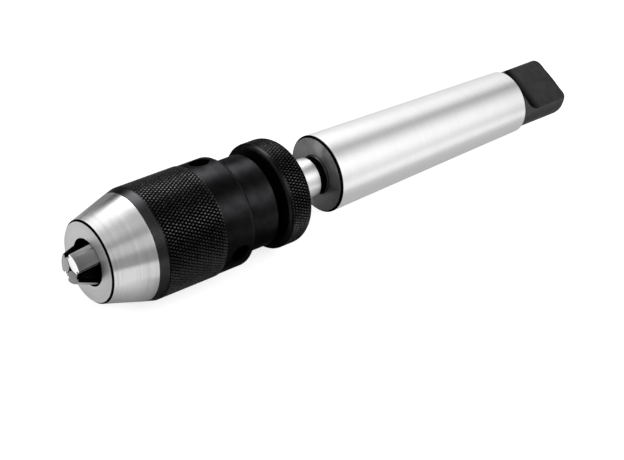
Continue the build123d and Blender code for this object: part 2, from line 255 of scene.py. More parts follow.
# %% [markdown]
# ## The nose hood
# The hood is the bright cone in front. It is turned in one setting, so its face, its cone and its rims
# share one axis. A cone primitive would do for the outside, but through the nose hole the slanted
# bore that guides the jaws can be seen, so the whole wall is turned, inside and out. The face meets
# the cone in a small chamfer. The chamfer and the bore are painted black, as painted shade, so the
# chamfer shows as a thin black ring.

# %% Turn the nose hood
TURNED_SIDES = 256
FINE_BREAK = 0.06
SMALL_BREAK = 0.1
HOOD_CHAMFER = 0.5
BORE_CHAMFER = 0.35
HOOD_FACE_R = 12.33
SLEEVE_FIT = 0.02
SLOPE = tan(radians(20))   # slant of the jaws' slides
HOLE_R = 6.6               # slanted bore at the plane of the nose face
SPIGOT_LENGTH = 6.0
SPIGOT_R = outer_radius("jaw_guide")
CONE_TIP_R = SLEEVE_R - 0.75


def bore_r(x):
    return HOLE_R + SLOPE * x


def turned_piece(name, corners):
    """Plain turned piece from the corners of its closed outline."""
    shell = Shell()
    first, last = shell.turn(broken_outline(corners), even_angles(TURNED_SIDES))
    shell.join(last, first)
    return shell.piece(name)


def nose_hood():
    cone_end = CONE_END - SLEEVE_FIT
    spigot_end = cone_end + SPIGOT_LENGTH
    return turned_piece("nose_hood", [
        (0, bore_r(BORE_CHAMFER) + BORE_CHAMFER, FINE_BREAK),
        (0, HOOD_FACE_R - HOOD_CHAMFER, FINE_BREAK),
        (HOOD_CHAMFER, HOOD_FACE_R, FINE_BREAK),
        (cone_end, CONE_TIP_R, FINE_BREAK),
        (cone_end, SPIGOT_R),
        (spigot_end, SPIGOT_R),
        (spigot_end, bore_r(spigot_end)),
        (BORE_CHAMFER, bore_r(BORE_CHAMFER), FINE_BREAK),
    ])


settle(nose_hood(), "sleeve", "nose_cone")

# %% [markdown]
# ## The diamond knurl
# A knurl isn't cut. Two hardened wheels with slanted teeth roll their pattern into the sleeve, and the
# metal rises between the grooves as rows of blunt pyramids. A bump map gives that sparkle from
# straight ahead, but the outline stays smooth, and a knurl seen from the side must look like a rasp.
# So every diamond is real: four steep flanks, four gentler shoulders and a worn top. Diamonds sit in
# rows, each row half a pitch further round, so a diamond's tips touch the rows before and behind it.

# %% The knurl's measures and rows
KNURL_DEPTH = 0.45
SHOULDER_SHARE = 0.58                      # share of a diamond inside its shoulder
SHOULDER_SINK = (1 - 0.74) * KNURL_DEPTH   # depth of the shoulder below the worn top
SHOULDER_WEAR = 0.15                       # how much of an edge the shoulder is; the top is all edge
TOP_SHARE = 0.36                           # share of a diamond inside its worn top


class Knurl:
    """One rolled band of diamonds in a Shell of its own. Crest gives its outer radius at a station."""

    def __init__(self, start, end, crest, around, rows):
        self.shell = Shell()
        self.start, self.end = start, end
        self.crest = crest
        self.around, self.rows = around, rows
        self.pitch = 2 * pi / around
        self.step = (end - start) / rows

    def middle(self, row, number):
        """Angle of a diamond's middle; odd rows sit half a pitch further round."""
        return (number + 0.5 * (row % 2)) * self.pitch

    def valley(self, row, number):
        """Point where grooves cross, after diamond `number` of a row."""
        return self.crossings[row][number % self.around]

    def far_tip(self, row, number):
        return self.valley(row + 1, number if row % 2 else number - 1)

    def near_tip(self, row, number):
        return self.valley(row - 1, number if row % 2 else number - 1)

    def place(self, x, angle, depth, edge):
        """Point at a depth below the crests, or None beyond the ends of the band."""
        if not self.start <= x <= self.end:
            return None
        radius = self.crest(x) - depth
        return self.shell.point(x, radius * cos(angle), radius * sin(angle), edge)

    def level(self, row, number, share, depth, edge):
        """The four corners of a diamond at one depth: before, right, behind and left of its middle."""
        x = self.start + row * self.step
        a = self.middle(row, number)
        side = share * self.pitch / 2
        ahead = share * self.step
        places = [(x - ahead, a), (x, a + side), (x + ahead, a), (x, a - side)]
        return [self.place(px, pa, depth, edge) for px, pa in places]

    def diamond(self, row, number):
        """Faces of a diamond, or of the half that a first or last row has."""
        first, last = row == 0, row == self.rows
        foot = [
            None if first else self.near_tip(row, number),
            self.valley(row, number),
            None if last else self.far_tip(row, number),
            self.valley(row, number - 1),
        ]
        shoulder = self.level(row, number, SHOULDER_SHARE, SHOULDER_SINK, SHOULDER_WEAR)
        top = self.level(row, number, TOP_SHARE, 0.0, 1.0)
        for lower, upper in ((foot, shoulder), (shoulder, top)):
            for i in range(4):
                quad = (lower[i - 1], lower[i], upper[i], upper[i - 1])
                if None not in quad:
                    self.shell.faces.append(quad)
        self.shell.faces.append([p for p in top if p is not None])
        return shoulder, top

    def roll(self, end_r):
        """Makes all the diamonds. The grooves run out to end_r, one radius for each end, if it is lower."""
        self.crossings = []
        for row in range(self.rows + 1):
            x = self.start + row * self.step
            radius = self.crest(x) - KNURL_DEPTH
            edge_r = {0: end_r[0], self.rows: end_r[1]}.get(row)
            if edge_r is not None and edge_r < self.crest(x):
                radius = edge_r
            angles = [self.middle(row, n) + self.pitch / 2 for n in range(self.around)]
            self.crossings.append(self.shell.ring(x, radius, angles))
        made = {row: [self.diamond(row, n) for n in range(self.around)] for row in range(self.rows + 1)}
        fronts = self.wall(0, made[0], end_r[0])
        rears = self.wall(self.rows, made[self.rows], end_r[1])
        return fronts, rears

    def wall(self, row, diamonds, end_r):
        """Flat wall at one end of the knurl; gives the ring of turned metal that it ends on."""
        x = self.start if row == 0 else self.end
        side = TOP_SHARE * self.pitch / 2
        ring = []
        for number, (shoulder, top) in enumerate(diamonds):
            a = self.middle(row, number)
            groove = self.valley(row, number)
            if end_r < self.crest(x):
                left, right = self.shell.ring(x, end_r, [a - side, a + side])
                slope = [self.valley(row, number - 1), shoulder[3], top[3], top[1], shoulder[1], groove]
                self.shell.faces.append(slope + [right, left])
                ring += [left, right, groove]
            else:
                next_shoulder, next_top = diamonds[(number + 1) % self.around]
                rim = self.shell.ring(x, end_r, [a + self.pitch / 2])
                self.shell.faces.append([top[1], *rim, next_top[3], next_shoulder[3], groove, shoulder[1]])
                ring += [top[3], top[1], *rim]
        return ring

    def turned_angles(self):
        """Angles of the turned rings that the walls meet, three for each diamond."""
        side = TOP_SHARE * self.pitch / 2
        return [n * self.pitch + a for n in range(self.around) for a in (-side, side, self.pitch / 2)]


print("a diamond has", 4 + 4 + 1, "faces")

# %% [markdown]
# ## The hand sleeve
# The sleeve carries the long knurl, a smooth bevel in front of it and a smooth band behind it, a
# quarter of a millimetre below the crests. The diamonds could be laid on a plain tube, but then the
# mesh would be some two thousand loose scraps. So the turned outlines before and behind the knurl get
# three points round for each diamond, and all grows together into one closed skin.

# %% Knurl, band and bevel of the hand sleeve
SLEEVE_WALL = 1.32         # under the grooves of the knurl
KNURL_LAND = 0.4           # smooth strip between the bevel and the first diamonds
BEVEL_LENGTH = 2.8
KNURL_LENGTH = 19.4
KNURL_AROUND = 98
KNURL_ROWS = 20
BAND_STEP = 0.25
BAND_REAR_R = 1.3          # radius of the band's rounded rear edge
NUT_BORE_R = 13.6
BAND_R = SLEEVE_R - BAND_STEP
KNURL_START = CONE_END - SLEEVE_FIT + BEVEL_LENGTH + KNURL_LAND
KNURL_END = KNURL_START + KNURL_LENGTH


def knurled_piece(name, knurl, end_r, front, rear):
    """One skin from a knurl and the turned outlines before and behind it, which meet in the bore."""
    shell = knurl.shell
    front_ring, rear_ring = knurl.roll(end_r)
    angles = knurl.turned_angles()
    inner, outer = shell.turn(front, angles)
    shell.join(outer, front_ring)
    first, closing = shell.turn(rear, angles)
    shell.join(rear_ring, first)
    shell.join(closing, inner)
    return shell.piece(name)


def grip_sleeve():
    knurl = Knurl(KNURL_START, KNURL_END, lambda x: SLEEVE_R, KNURL_AROUND, KNURL_ROWS)
    bore = SLEEVE_R - KNURL_DEPTH - SLEEVE_WALL
    shoulder = station("jaw_guide", 1) + SLEEVE_FIT
    front = broken_outline([
        (shoulder, NUT_BORE_R),
        (shoulder, bore),
        (CONE_END, bore),
        (CONE_END, CONE_TIP_R, FINE_BREAK),
        (KNURL_START - KNURL_LAND, SLEEVE_R, SMALL_BREAK),
        (KNURL_START, SLEEVE_R),
    ], closed=False)
    rear = broken_outline([
        (KNURL_END, BAND_R),
        (BAND_END, BAND_R, BAND_REAR_R),
        (BAND_END, NUT_BORE_R),
        (shoulder, NUT_BORE_R),
    ], closed=False)
    return knurled_piece("grip_sleeve", knurl, (SLEEVE_R, BAND_R), front[:-1], rear[1:-1])


sleeve = grip_sleeve()
print("grip_sleeve:", len(sleeve.data.polygons), "faces,", open_edges(sleeve), "open edges")

# %% [markdown]
# ## The spanner holes
# Three blind holes in the band, a third of a turn apart, take the pin of a hook spanner. They could be
# drawn into the turned grid by hand, but that would spoil its even rings. They are cut as they are
# drilled instead, by boolean. Each cutter has a flared mouth, which leaves a countersunk rim.

# %% Drill the three spanner holes
SPANNER_HOLES = 3
SPANNER_R = 3.0
SPANNER_DEPTH = 2.2
SPANNER_RIM = 0.12
SPANNER_TURN = 48.5        # degrees from +Y to the first hole
SPANNER_STATION = (KNURL_END + BAND_END) / 2
SPANNER_SIDES = 64
CUTTER_REACH = 2.0         # how far the cutter stands out of the band


def spanner_cutter(direction):
    """Flat-bottomed drill with a flared mouth, pointing out of the sleeve along one direction."""
    floor = BAND_R - SPANNER_DEPTH
    lip = BAND_R - SPANNER_RIM
    over = BAND_R + CUTTER_REACH
    profile = [(0, floor), (SPANNER_R, floor), (SPANNER_R, lip), (SPANNER_R + over - lip, over), (0, over)]
    shell = Shell()
    rings = []
    for radius, height in profile:
        ring = []
        for a in even_angles(SPANNER_SIDES):
            across = radius * sin(a)
            y = height * cos(direction) - across * sin(direction)
            z = height * sin(direction) + across * cos(direction)
            ring.append(shell.point(SPANNER_STATION + radius * cos(a), y, z))
        rings.append(ring)
    shell.join(*rings)
    return shell.piece("spanner_cutter")


def drill(made, cutter):
    bpy.context.view_layer.objects.active = made
    cut = made.modifiers.new("hole", "BOOLEAN")
    cut.operation = "DIFFERENCE"
    cut.solver = "EXACT"
    cut.object = cutter
    with bpy.context.temp_override(object=made, active_object=made):
        bpy.ops.object.modifier_apply(modifier=cut.name)
    bpy.data.objects.remove(cutter)


for number in range(SPANNER_HOLES):
    drill(sleeve, spanner_cutter(radians(SPANNER_TURN + 360 / SPANNER_HOLES * number)))
tidy_mesh(sleeve.data)
settle(sleeve, "sleeve", "knurled_sleeve")

# %% [markdown]
# ## The waist nut and the rear ring
# Behind the band the sleeve is closed by a nut whose outside is the smooth waist. The ring behind it
# stays still: one hand holds it while the other turns the sleeve. The nut is turned as the hood is.
# The ring has a short knurl that runs on over its large rounded rear edge. A knurl made flat and bent
# over that edge would be squeezed there, so its crests follow the rim's own radius instead.

# %% Turn the nut and roll the ring
RUNNING_FIT = 0.05
NUT_SHOULDER = BAND_END + 0.2
WAIST_R = 14.0
WAIST_CHAMFER = 0.35
JOURNAL_R = 9.9
RING_FRONT_ROUND = 1.2
RING_REAR_ROUND = 4.0
RING_KNURL_START = RING_FRONT + 1.4
RING_KNURL_END = RING_REAR - 1.3
RING_AROUND = 106
RING_ROWS = 7
REAR_ARC_STEPS = 10


def waist_nut():
    front = station("retaining_nut", 0)
    plug_r = NUT_BORE_R - SLEEVE_FIT
    bore = JOURNAL_R + RUNNING_FIT
    return turned_piece("waist_nut", [
        (front, bore),
        (front, plug_r),
        (NUT_SHOULDER, plug_r),
        (NUT_SHOULDER, WAIST_R, FINE_BREAK),
        (WAIST_END - WAIST_CHAMFER, WAIST_R, SMALL_BREAK),
        (WAIST_END, WAIST_R - WAIST_CHAMFER, FINE_BREAK),
        (WAIST_END, bore, FINE_BREAK),
    ])


def ring_rim(x):
    """Radius of the ring's rim at a station, round its large rear edge too."""
    over = max(x - (RING_REAR - RING_REAR_ROUND), 0)
    return RING_R - RING_REAR_ROUND + sqrt(RING_REAR_ROUND ** 2 - over ** 2)


def rear_grip_ring():
    knurl = Knurl(RING_KNURL_START, RING_KNURL_END, ring_rim, RING_AROUND, RING_ROWS)
    bore = JOURNAL_R + SLEEVE_FIT
    front = broken_outline([
        (RING_FRONT, bore),
        (RING_FRONT, RING_R, RING_FRONT_ROUND),
        (RING_KNURL_START, RING_R),
    ], closed=False)
    centre = (RING_REAR - RING_REAR_ROUND, RING_R - RING_REAR_ROUND)
    knurl_stop = acos((RING_KNURL_END - centre[0]) / RING_REAR_ROUND)
    rear = [(x, r, 0.0) for x, r in arc_points(centre, RING_REAR_ROUND, knurl_stop, 0, REAR_ARC_STEPS)]
    rear.append((RING_REAR, bore, 0.0))
    end_r = (RING_R, ring_rim(RING_KNURL_END))
    return knurled_piece("rear_grip_ring", knurl, end_r, front[:-1], rear[1:])


settle(waist_nut(), "sleeve", "retaining_nut")
settle(rear_grip_ring(), "static", "rear_ring")

# %% [markdown]
# ## The arbor
# The arbor is one bar: a short bright taper that sits in the chuck, a black undercut and shoulder, the
# long ground taper, and a tang with two flats that a mill has cut. The flats end in a curved wall
# with the cutter's radius. A boolean would leave knife edges there. Instead each ring is a circle
# that is cut off above and below at a height which follows the cutter, with a small round between arc
# and flat. Where the height is more than the radius the flats shrink to nothing, so one rule draws
# the whole bar, and doubled points are merged afterwards.

# %% Rings with two flats
TANG_LENGTH = 20.0
TANG_START = TANG_END - TANG_LENGTH
FLAT_HEIGHT = 3.95
CUTTER_R = 8.0
FLAT_BREAK = 0.3
ARC_COLUMNS = 48           # points on a quarter's arc
FLAT_COLUMNS = 12          # and on its half of the flat
CORNER_STEPS = 4
END_DOME = 1.0             # height of the shallow cone that the tang ends in
TANG_CORNER_R = 2.0
TANG_R = 9.255
FLAT_START = TANG_START + sqrt(CUTTER_R ** 2 - (CUTTER_R - (TANG_R - FLAT_HEIGHT)) ** 2)
END_BREAK_START = TANG_END - END_DOME + 0.04   # from here on the flats round down to the end


def flat_height(x):
    """Height of the milled flats at a station, or None in front of the cut."""
    if x < TANG_START:
        return None
    if x < FLAT_START:
        return FLAT_HEIGHT + CUTTER_R - sqrt(CUTTER_R ** 2 - (FLAT_START - x) ** 2)
    if x < END_BREAK_START:
        return FLAT_HEIGHT
    return FLAT_HEIGHT - FLAT_BREAK + sqrt(max(FLAT_BREAK ** 2 - (x - END_BREAK_START) ** 2, 0))


def quarter(r, height):
    """Points (y, z, edge) of the right half of a ring's upper side: arc, round, then half the flat."""
    height = r if height is None or height > r else height
    soft = min(FLAT_BREAK, height)
    y = sqrt(max((r - soft) ** 2 - (height - soft) ** 2, 0))
    z = height - soft
    turn = atan2(z, y) if hypot(y, z) > SAME_POINT else pi / 2
    points = [(r * cos(turn * i / ARC_COLUMNS), r * sin(turn * i / ARC_COLUMNS), 0.0)
              for i in range(ARC_COLUMNS)]
    for step in range(CORNER_STEPS + 1):
        b = turn + (pi / 2 - turn) * step / CORNER_STEPS
        points.append((y + soft * cos(b), z + soft * sin(b), 1.0 if height < r else 0.0))
    points += [(y * (1 - i / FLAT_COLUMNS), height, 0.0) for i in range(1, FLAT_COLUMNS + 1)]
    return points


def flatted_ring(shell, x, r, height, edge):
    """One whole ring, made from four quarters that mirror each other."""
    right_up = quarter(r, height)
    left_up = [(-y, z, w) for y, z, w in reversed(right_up[:-1])]
    upper = right_up + left_up
    lower = [(-y, -z, w) for y, z, w in upper]
    return [shell.point(x, y, z, max(edge, w)) for y, z, w in upper + lower[1:-1]]


print("a ring has", len(flatted_ring(Shell(), 0, 1, None, 0)), "points")

# %% [markdown]
# ## The arbor's outline
# Both tapers follow standards, so each is written as a radius at one station and a rate: the short one
# starts at the rear face of the chuck's body, the long one at the gauge plane. The outline could be
# read off the solid, but its mesh has few stations where the mill runs out, and sharp corners. Drawn
# again it gets a ring wherever the cutter's arc or the end's shallow cone needs one.

# %% Turn, grind and mill the arbor
NECK_END = BODY_END + 8.2
SHOULDER = NECK_END + 3.1
GAUGE = -NOSE_FACE / mm
GAUGE_R = 23.825 / 2
SOCKET_R = 12.065 / 2
SOCKET_RATE = 1 / 20.047 / 2
MORSE_RATE = 0.0502 / 2
SMALL_END_CHAMFER = 0.8
UNDERCUT_DEPTH = 0.5
RIM_CHAMFER = 0.6
TANG_RELIEF = 0.8          # slope between the ground taper and the tang
TANG_STEP = 0.1            # small step at the foot of that slope
RUN_OUT = radians(70)      # how far the cutter's arc is followed from its lowest point
RUN_OUT_RINGS = 15
DOME_R = (6.2, 2.4)        # radii between which the end's cone gets rings of its own
DOME_RINGS = 12
CENTRE_R = 1.94
CENTRE_SLOPE = radians(60)
DRILL_R = 0.8
DRILL_DEPTH = 5.0


def socket_r(x):
    return SOCKET_R + (x - BODY_END) * SOCKET_RATE


def morse_r(x):
    return GAUGE_R - (x - GAUGE) * MORSE_RATE


def dome_x(r):
    """Station of the tang's end, a shallow cone, at a radius."""
    return TANG_END - END_DOME * r / TANG_R


def tang_outline():
    """Outline from the step in front of the tang to the bottom of the lathe centre in its end."""
    step = (TANG_START - TANG_STEP, TANG_R + TANG_STEP)
    milled = [(FLAT_START - CUTTER_R * sin(t), TANG_R) for t in np.linspace(RUN_OUT, 0, RUN_OUT_RINGS)]
    corner = broken_outline([
        (FLAT_START, TANG_R),
        (TANG_END - END_DOME, TANG_R, TANG_CORNER_R),
        (TANG_END, 0),
    ], closed=False)[1:-1]
    dome = [(dome_x(r), r) for r in np.linspace(*DOME_R, DOME_RINGS)]
    centre = broken_outline([
        (dome_x(DOME_R[1]), DOME_R[1]),
        (dome_x(CENTRE_R), CENTRE_R, FINE_BREAK),
        (TANG_END - (CENTRE_R - DRILL_R) * tan(CENTRE_SLOPE), DRILL_R),
        (TANG_END - DRILL_DEPTH, DRILL_R),
        (TANG_END - DRILL_DEPTH - DRILL_R / 2, 0),
    ], closed=False)[1:]
    return [(point[0], point[1], 0.0) for point in [step, *milled, *corner, *dome, *centre]]


def arbor_outline():
    """Outline points (x, r, edge) of the whole arbor, from its small end on."""
    small = station("arbor", 0)
    neck_r = socket_r(NECK_END)
    undercut_r = neck_r - UNDERCUT_DEPTH
    relief = TANG_START - TANG_RELIEF
    neck = broken_outline([
        (small, 0),
        (small, socket_r(small) - SMALL_END_CHAMFER),
        (small + SMALL_END_CHAMFER, socket_r(small)),
        (NECK_END, neck_r, FINE_BREAK),
        (NECK_END, undercut_r),
    ], closed=False)[:-1]
    taper = broken_outline([
        (NECK_END, undercut_r),
        (SHOULDER, undercut_r, UNDERCUT_DEPTH),
        (SHOULDER, morse_r(SHOULDER) - RIM_CHAMFER, FINE_BREAK),
        (SHOULDER + RIM_CHAMFER, morse_r(SHOULDER + RIM_CHAMFER), FINE_BREAK),
        (relief, morse_r(relief)),
    ], closed=False)
    return neck + taper + tang_outline()


def taper_arbor():
    shell = Shell()
    shell.join(*[flatted_ring(shell, x, r, flat_height(x), edge) for x, r, edge in arbor_outline()])
    return shell.piece("taper_arbor")


settle(taper_arbor(), "static", "arbor")

# %% [markdown]
# ## The jaws
# The jaws are ground all over, and only their edges are stoned by hand. Their shape is already right
# in the frame, so a copy is enough: the triangles of its flat faces are merged again, and every real
# edge gets a small bevel. The frame's own solids are never touched, so the copy takes their place.

# %% Stone the edges of the jaws
JAW_BREAK = 0.12
REAL_EDGE = radians(24)    # faces that meet at less than this belong to one round surface
FLAT_LIMIT = radians(0.4)  # and at less than this to one flat face


def stoned_jaw(number, name):
    work = bmesh.new()
    work.from_mesh(nodes[f"jaw_{number}"].data)
    bmesh.ops.remove_doubles(work, verts=work.verts, dist=SAME_POINT)
    bmesh.ops.dissolve_limit(work, angle_limit=FLAT_LIMIT, verts=work.verts, edges=work.edges)
    sharp = [e for e in work.edges if e.is_manifold and e.calc_face_angle() > REAL_EDGE]
    made = bmesh.ops.bevel(work, geom=sharp, offset=JAW_BREAK * mm, segments=2, profile=0.5,
                           affect="EDGES", clamp_overlap=True)
    work.faces.index_update()
    stoned = {face.index for face in made["faces"]}
    mesh = bpy.data.meshes.new(name)
    work.to_mesh(mesh)
    work.free()
    edge = mesh.attributes.new("edge", "FLOAT", "FACE")
    edge.data.foreach_set("value", [float(i in stoned) for i in range(len(mesh.polygons))])
    mesh.shade_smooth()
    mesh.set_sharp_from_angle(angle=SHARP_ANGLE)
    return put_in_scene(name, mesh)


for number, word in enumerate(("one", "two", "three"), start=1):
    settle(stoned_jaw(number, f"ground_jaw_{word}"), f"jaw_{word}", f"jaw_{number}")

# %% [markdown]
# ## Effects that the finishes share
# Three things are on nearly every surface here: the fine rings that a lathe or a grinder leaves, the
# edges that handling has worn, and the slight cloudiness of a finish. Each is a node group, built
# once, and each material places it with its own values. The groups only give numbers. The shader, and
# the constants on it, stay in the material.

# %% Helpers for node trees


def feed(tree, node, values):
    """Gives each named input of a node its value, or a link where the value is another node's output."""
    for socket, value in values.items():
        if isinstance(value, bpy.types.NodeSocket):
            tree.links.new(value, node.inputs[socket])
        else:
            node.inputs[socket].default_value = value


def add_node(tree, kind, values=None, **settings):
    made = tree.nodes.new(kind)
    for key, value in settings.items():
        setattr(made, key, value)
    feed(tree, made, values or {})
    return made


def maths(tree, operation, first, second=0.0):
    return add_node(tree, "ShaderNodeMath", {0: first, 1: second}, operation=operation).outputs[0]


def weighted(tree, first, second, share):
    """A share of the first value, and the rest from the second."""
    part, rest = maths(tree, "MULTIPLY", first, share), maths(tree, "MULTIPLY", second, 1 - share)
    return maths(tree, "ADD", part, rest)


def between(tree, value, low, high, to_low=0.0, to_high=1.0):
    """Value taken smoothly from the range low to high into the range to_low to to_high."""
    ends = {"Value": value, "From Min": low, "From Max": high, "To Min": to_low, "To Max": to_high}
    return add_node(tree, "ShaderNodeMapRange", ends, interpolation_type="SMOOTHSTEP").outputs[0]


def object_place(tree):
    return add_node(tree, "ShaderNodeTexCoord").outputs["Object"]


def noise(tree, place, scale, detail, roughness=0.5):
    values = {"Vector": place, "Scale": scale, "Detail": detail, "Roughness": roughness}
    return add_node(tree, "ShaderNodeTexNoise", values).outputs[0]


def new_group(name, inputs, outputs):
    tree = bpy.data.node_groups.new(name, "ShaderNodeTree")
    for label, value in inputs.items():
        socket = tree.interface.new_socket(label, in_out="INPUT", socket_type="NodeSocketFloat")
        socket.default_value = value
    for label in outputs:
        tree.interface.new_socket(label, in_out="OUTPUT", socket_type="NodeSocketFloat")
    return tree, tree.nodes.new("NodeGroupInput").outputs, tree.nodes.new("NodeGroupOutput")


print("node helpers ready")

# %% [markdown]
# ### Lathe marks
# A turned mark runs round the piece. On a cylinder it is a ring at one station, on a flat face a ring
# at one radius, so station plus radius is a coordinate that works on both, and on cones too. Noise
# along that coordinate draws rings of uneven depth. A little of Y and Z is mixed in, so that a ring
# fades and returns as it goes round, as real ones do.

# %% The lathe marks group
BAND_RATE = 0.17           # the slow bands are about six marks wide


def lathe_marks_group():
    """Pitch is the width of a mark in mm, Drift says how fast a mark changes round the piece, per mm."""
    tree, given, result = new_group("lathe_marks", {"Pitch": 0.2, "Drift": 0.05}, ["Height", "Tone"])
    to_mm = {0: object_place(tree), "Scale": 1 / mm}
    place = add_node(tree, "ShaderNodeVectorMath", to_mm, operation="SCALE").outputs[0]
    axis = add_node(tree, "ShaderNodeSeparateXYZ", {0: place}).outputs
    squares = [maths(tree, "POWER", axis[way], 2.0) for way in "YZ"]
    radius = maths(tree, "SQRT", maths(tree, "ADD", *squares))
    along = maths(tree, "DIVIDE", maths(tree, "ADD", axis["X"], radius), given["Pitch"])
    slow = maths(tree, "MULTIPLY", along, BAND_RATE)
    round_y, round_z = [maths(tree, "MULTIPLY", axis[way], given["Drift"]) for way in "YZ"]
    fine = add_node(tree, "ShaderNodeCombineXYZ", {0: along, 1: round_y, 2: round_z}).outputs[0]
    wide = add_node(tree, "ShaderNodeCombineXYZ", {0: slow, 1: round_z, 2: round_y}).outputs[0]
    marks = noise(tree, fine, 1.0, 2.0, 0.6)
    bands = noise(tree, wide, 1.0, 3.0)
    feed(tree, result, {"Height": marks, "Tone": weighted(tree, marks, bands, 0.5)})
    return tree


LATHE_MARKS = lathe_marks_group()
print("group:", LATHE_MARKS.name)

# %% [markdown]
# ### Edge wear and cloudiness
# The number stored on every rounded corner says where an edge is. Noise breaks it up, because wear is
# never even. Cloudiness is soft noise a few millimetres wide with a fine grain on top, as on blacked
# steel that has been oiled and wiped.

# %% The edge wear and cloud groups


def edge_wear_group():
    """Amount is how much of an edge is worn, from 0 to 1, and Patch the size of a worn patch in mm."""
    tree, given, result = new_group("edge_wear", {"Amount": 0.5, "Patch": 0.8}, ["Mask"])
    patches = noise(tree, object_place(tree), maths(tree, "DIVIDE", 1 / mm, given["Patch"]), 3.0)
    edge = add_node(tree, "ShaderNodeAttribute", attribute_name="edge").outputs["Fac"]
    broken = maths(tree, "MULTIPLY", edge, between(tree, patches, 0.35, 0.65))
    feed(tree, result, {"Mask": maths(tree, "MULTIPLY", broken, given["Amount"])})
    return tree


def cloud_group():
    """Size is the width of a cloud in mm, Grain the width of the fine grain in mm."""
    tree, given, result = new_group("clouds", {"Size": 4.0, "Grain": 0.12}, ["Tone", "Grain"])
    place = object_place(tree)
    wide, narrow = [maths(tree, "DIVIDE", 1 / mm, given[label]) for label in ("Size", "Grain")]
    feed(tree, result, {"Tone": noise(tree, place, wide, 4.0), "Grain": noise(tree, place, narrow, 2.0)})
    return tree


EDGE_WEAR = edge_wear_group()
CLOUDS = cloud_group()
print("groups:", EDGE_WEAR.name, CLOUDS.name)

# %% [markdown]
# ## Finishes
# Bright steel is a mirror that has been scratched in one direction. The scratches run round the piece,
# so they spread a reflection along it, and hardly round it: that is anisotropy. The tangent is taken
# round the X axis and turned by a quarter. Blacked steel is another thing: a thin dark oxide that is
# nearly matt, and reflects so little that only the brightest part of the room shows in it. A picture
# of each could be wrapped round the pieces, but noise in space has no seam and stays sharp close up.
# What all metals share is written once: two tones, worn edges, and marks in relief.

# %% Two ways to finish steel


def grey(level, blue=0.0):
    """A grey, with a little more blue where the steel leans that way."""
    return level, level, level + blue, 1


def place_group(tree, group, **values):
    return add_node(tree, "ShaderNodeGroup", values, node_tree=group).outputs


def mixed_colour(tree, factor, first, second):
    return add_node(tree, "ShaderNodeMix", {0: factor, 6: first, 7: second}, data_type="RGBA").outputs[2]


def new_material(name):
    material = bpy.data.materials.new(name)
    material.use_nodes = True
    tree = material.node_tree
    return material, tree, tree.nodes["Principled BSDF"]


def finish_metal(tree, shader, colours, tone, wear, gloss, height, relief, spread):
    """Colours are the darkest, the lightest and the worn one; relief is the height of the marks in mm."""
    dark, light, worn = colours
    plain = mixed_colour(tree, between(tree, tone, 0.3, 0.7), dark, light)
    feed(tree, shader, {
        "Base Color": mixed_colour(tree, wear, plain, worn),
        "Roughness": gloss,
        "Normal": add_node(tree, "ShaderNodeBump", {"Height": height, "Distance": relief * mm}).outputs[0],
        "Metallic": 1.0,
        "Anisotropic": spread,
        "Anisotropic Rotation": 0.25,
        "Tangent": add_node(tree, "ShaderNodeTangent", direction_type="RADIAL", axis="X").outputs[0],
    })


def bright_steel(name, dark, light, roughness, spread, pitch, relief, drift=0.03, worn=grey(0.86, 0.01)):
    """Turned or ground metal. Spread says how far its marks draw a reflection out along the piece."""
    material, tree, shader = new_material(name)
    marks = place_group(tree, LATHE_MARKS, Pitch=pitch, Drift=drift)
    clouds = place_group(tree, CLOUDS, Size=6.0, Grain=0.1)
    wear = place_group(tree, EDGE_WEAR, Amount=0.8, Patch=0.6)["Mask"]
    tone = weighted(tree, marks["Tone"], clouds["Tone"], 0.75)
    gloss = between(tree, tone, 0.25, 0.75, roughness * 1.06, roughness * 0.94)
    finish_metal(tree, shader, (dark, light, worn), tone, wear, gloss, marks["Height"], relief, spread)
    return material


def black_steel(name, dark, light, worn, roughness, spread, edge_tint, pitch, relief=0.003, amount=0.0):
    """Oxidised steel. Edge tint is its reflection at a glancing angle, amount says how worn its edges are."""
    material, tree, shader = new_material(name)
    marks = place_group(tree, LATHE_MARKS, Pitch=pitch, Drift=0.08)
    clouds = place_group(tree, CLOUDS, Size=3.0, Grain=0.09)
    wear = place_group(tree, EDGE_WEAR, Amount=amount, Patch=0.5)["Mask"]
    gloss = between(tree, marks["Tone"], 0.3, 0.7, roughness * 0.9, roughness * 1.1)
    height = maths(tree, "ADD", marks["Height"], maths(tree, "MULTIPLY", clouds["Grain"], 0.5))
    finish_metal(tree, shader, (dark, light, worn), clouds["Tone"], wear, gloss, height, relief, spread)
    shader.inputs["Specular Tint"].default_value = grey(edge_tint)
    return material


print("a finish is built on:", LATHE_MARKS.name, CLOUDS.name, EDGE_WEAR.name)
